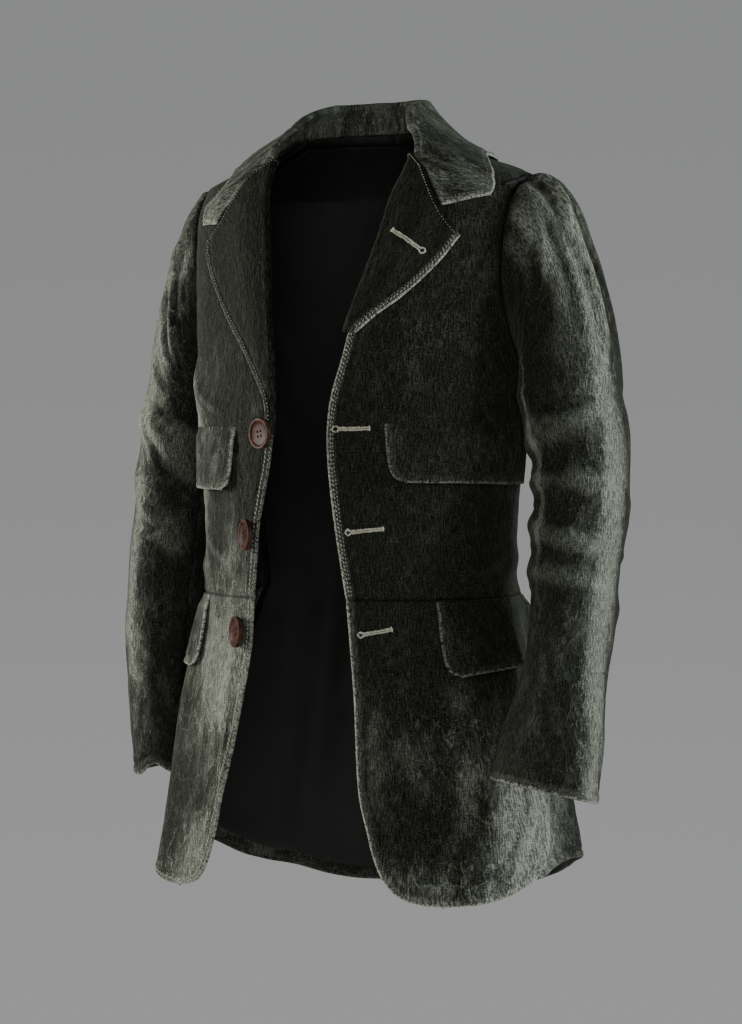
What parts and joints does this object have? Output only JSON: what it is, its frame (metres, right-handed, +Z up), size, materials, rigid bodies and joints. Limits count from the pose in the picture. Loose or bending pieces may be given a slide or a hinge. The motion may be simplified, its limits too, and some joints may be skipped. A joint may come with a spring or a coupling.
{
  "type": "field jacket",
  "caption": "Velvet field jacket held open as worn: notched collar and lapels, gathered set-in sleeves, flapped chest and hip pockets, a waist seam and a dark lining.",
  "frame": {"origin": "middle of the neck hole on the centre plane, at the height of the back neck seam", "axes": "+Z up as worn, the front faces -Y, the wearer's left sleeve is on +X"},
  "size_m": [0.5355, 0.3107, 0.761],
  "materials": {
    "velvet": "worn cotton velvet",
    "lining": "plain black twill",
    "horn": "polished horn"
  },
  "bodies": {
    "root": {"front_left": "velvet", "front_right": "velvet", "skirt_front_left": "velvet", "skirt_front_right": "velvet", "back_left": "velvet", "back_right": "velvet", "lapel_left": "velvet", "lapel_right": "velvet", "collar": "velvet", "sleeve_top_left": "velvet", "sleeve_top_right": "velvet", "sleeve_under_left": "velvet", "sleeve_under_right": "velvet", "chest_flap_left": "velvet", "chest_flap_right": "velvet", "hip_flap_left": "velvet", "hip_flap_right": "velvet", "lining_left": "lining", "lining_right": "lining", "button_top": "horn", "button_middle": "horn", "button_bottom": "horn"}
  },
  "joints": []
}
